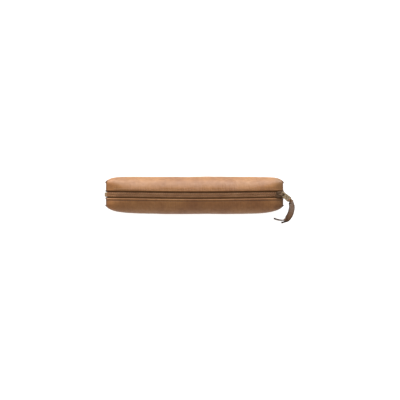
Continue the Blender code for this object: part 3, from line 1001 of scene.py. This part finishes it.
def make_tab():
    """A flat cast tab with rounded edges and openings for the bridge and the strap, built level and in mm."""
    pivot = joint_place("pull_turns")
    along, across = tab_directions()
    up = along.cross(across)
    work = bmesh.new()
    outer = rounded_loop(TAB_FROM, TAB_TO, TAB_NEAR_HALF, TAB_FAR_HALF, 1.5, 7, 5)
    holes = [rounded_loop(a, b, half, half, 0.7, 5, 2) for a, b, half in (EYE, SLOT)]
    edges = []
    for outline in (outer, *holes):
        ring = [work.verts.new((p.x, p.y, 0.0)) for p in outline]
        edges += [work.edges.new((ring[k], ring[(k + 1) % len(ring)])) for k in range(len(ring))]
    bmesh.ops.triangle_fill(work, edges=edges, use_beauty=True)
    mesh = bpy.data.meshes.new("tab")
    work.to_mesh(mesh)
    work.free()
    mesh.materials.append(MATERIAL["brass"])
    obj = linked("tab", mesh)
    solid = obj.modifiers.new("thickness", "SOLIDIFY")
    solid.thickness = 2 * TAB_HALF_THICK
    solid.offset = 0.0
    rounded(obj, 0.22, 3)
    settle(obj)
    for vertex in obj.data.vertices:
        p = vertex.co
        vertex.co = (pivot + along * p.x + across * p.y + up * p.z) * MM
    obj.data.attributes.remove(obj.data.attributes["rest"])
    mark_rest(obj)
    obj.data.set_sharp_from_angle(angle=math.radians(50))
    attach(obj, "pull")
    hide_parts("pull_tab")


def smooth_between(points, steps):
    """Points of a Catmull-Rom curve through vectors of any length."""
    found = []
    for k in range(len(points) - 1):
        p0, p1, p2 = points[max(k - 1, 0)], points[k], points[k + 1]
        p3 = points[min(k + 2, len(points) - 1)]
        for step in range(steps):
            t = step / steps
            near, far = 2 * p0 - 5 * p1 + 4 * p2 - p3, 3 * p1 - p0 - 3 * p2 + p3
            found.append(0.5 * (2 * p1 + (p2 - p0) * t + near * t**2 + far * t**3))
    return found + [points[-1]]


def strap_frames(bar, along, across):
    """(place, way across, way through its thickness, (width, thickness)) at even steps down the strap."""
    rows = [(bar + along * out + Vector((0, 0, rise)), across, *size) for out, rise, *size in STRAP_HEAD]
    rows += [(Vector(place), Vector(wide), width, 2.0) for place, wide, width in STRAP_ROUTE]
    steps = 7
    places = smooth_between([row[0] for row in rows], steps)
    widths = smooth_between([row[1].normalized() for row in rows], steps)
    sizes = smooth_between([Vector((row[2], row[3])) for row in rows], steps)
    frames = []
    for k, (place, wide, size) in enumerate(zip(places, widths, sizes)):
        tangent = (places[min(k + 1, len(places) - 1)] - places[max(k - 1, 0)]).normalized()
        wide = (wide - tangent * wide.dot(tangent)).normalized()
        frames.append((place, wide, tangent.cross(wide), size))
    return frames


def strap_layer(frames, name, way, reach, spread):
    """One of the strap's two layers: a crowned ribbon.

    It stops at reach, a share of the strap's length, and curls off the other by spread mm.
    """
    cells, tip_steps, points, wear_and_shade = 9, 5, [], []
    last = int((len(frames) - 1) * reach)
    for k in range(last + 1):
        place, wide, thick, size = frames[k]
        late = soft((k / last - 0.80) / 0.20)
        gap = 0.10 + spread * late
        tip = max(0.0, (k - (last - tip_steps)) / tip_steps)
        half = size.x / 2 * math.sqrt(max(1 - 0.8 * tip**2, 0.1))
        rise = size.y / 2 * (1 + 0.5 * late)
        outline = []
        for j in range(cells + 1):
            s = 2 * j / cells - 1
            ripple = 0.10 * noise.noise(Vector((k * 0.33, s * 1.7, 4.0 * way)))
            outline.append((s * half, gap + rise * (1 - 0.30 * abs(s) ** 3) + ripple))
        inner = [(s * 0.97, gap * 0.7) for s, _ in reversed(outline)]
        for a, b in outline + inner:
            points.append(place + wide * a + thick * (b * way))
            # Darker along both edges, worn, and towards each layer's tip, painted shadow where the strap lies
            # on the floor
            edge = soft((abs(a) / half - 0.84) / 0.12)
            wear_and_shade.append(min(0.95 * edge + 0.5 * tip, 1.0))
    faces = tube_faces(last + 1, 2 * (cells + 1))
    return settle(piece_from(name, points, faces, "strap", (("burnish_and_shade", wear_and_shade),)))


def strap_loop(bar, along, across):
    """The fold of leather round the tab's bar."""
    up, turn, points = along.cross(across), 14, []
    for k in range(turn + 1):
        angle = math.pi / 2 + math.pi * k / turn
        out = along * math.cos(angle) + up * math.sin(angle)
        for radius, s in LOOP_OUTLINE:
            points.append(bar + out * radius + across * (s * LOOP_HALF))
    return settle(piece_from("strap_loop", points, tube_faces(turn + 1, len(LOOP_OUTLINE)), "strap"))


def strap_stitches(frames):
    """Stitches along both edges of both layers."""

    def seam_place(k, edge, way):
        place, wide, thick, size = frames[k]
        return place + wide * (edge * (size.x / 2 - 0.9)) + thick * (way * (size.y / 2 + 0.14))

    radii = (0.10, 0.2, 0.2, 0.10)
    points, faces = [], []
    for way, reach in ((1, 0.88), (-1, 0.66)):
        for edge in (-1, 1):
            for k in range(14, math.ceil(len(frames) * reach), 3):
                centres = []
                for j in range(len(radii)):
                    near, far = (seam_place(k + j // 2 + ahead, edge, way) for ahead in (0, 1))
                    centres.append(near.lerp(far, 0.5 * (j % 2)))
                add_tube(points, faces, centres, radii)
    return settle(piece_from("strap_stitches", points, faces, "thread"))


def make_strap():
    """Two layers of soft leather, folded round the tab's far bar and stitched along both edges."""
    bar = joint_place("strap_lifts")
    along, across = tab_directions()
    frames = strap_frames(bar, along, across)
    layers = [
        strap_layer(frames, "strap_upper", 1, 1.0, 0.15),
        strap_layer(frames, "strap_under", -1, 0.84, 1.5),
    ]
    strap = joined("strap_ribbon", [*layers, strap_loop(bar, along, across), strap_stitches(frames)])
    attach(strap, "strap")
    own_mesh(strap)
    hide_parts("pull_strap")


# Stage, in metres


def make_floor():
    mesh = bpy.data.meshes.new("floor")
    half = 3.0
    corners = [(-half, -half, 0), (half, -half, 0), (half, half, 0), (-half, half, 0)]
    mesh.from_pydata(corners, [], [(0, 1, 2, 3)])
    mesh.materials.append(floor_material())
    floor = linked("floor", mesh)


def make_lights():
    """A warm studio all round, and one large soft light behind the case."""
    world = bpy.data.worlds.new("studio")
    bpy.context.scene.world = world
    world.use_nodes = True
    background = world.node_tree.nodes["Background"]
    background.inputs["Color"].default_value = (1.0, 0.93, 0.86, 1.0)
    background.inputs["Strength"].default_value = 0.92
    data = bpy.data.lights.new("key", "AREA")
    data.shape = "RECTANGLE"
    data.size, data.size_y = 1.6, 0.7
    data.energy = 52.0
    data.color = (0.96, 1.0, 1.06)
    place, aim = (0.05, 1.3, 0.44), (0, 0, 0.02)
    light = linked("key", data)
    light.location = place
    light.rotation_euler = (Vector(aim) - Vector(place)).to_track_quat("-Z", "Y").to_euler()


def make_camera():
    """Straight above the case, as in the photo. frame_width is what it sees across at its distance."""
    distance, frame_width, sensor = 1.2, 0.455, 36.0
    data = bpy.data.cameras.new("camera")
    data.sensor_width = sensor
    data.lens = sensor * distance / frame_width
    camera = linked("camera", data)
    camera.location = (0.0061, -0.0061, 0.021 + distance)
    bpy.context.scene.camera = camera


make_leather()
make_lining()
make_tapes()
make_rows()
make_stitches()
make_stops()
make_seams()
make_slider()
make_tab()
make_strap()
make_floor()
make_lights()
make_camera()
bpy.context.scene.view_settings.view_transform = "Standard"
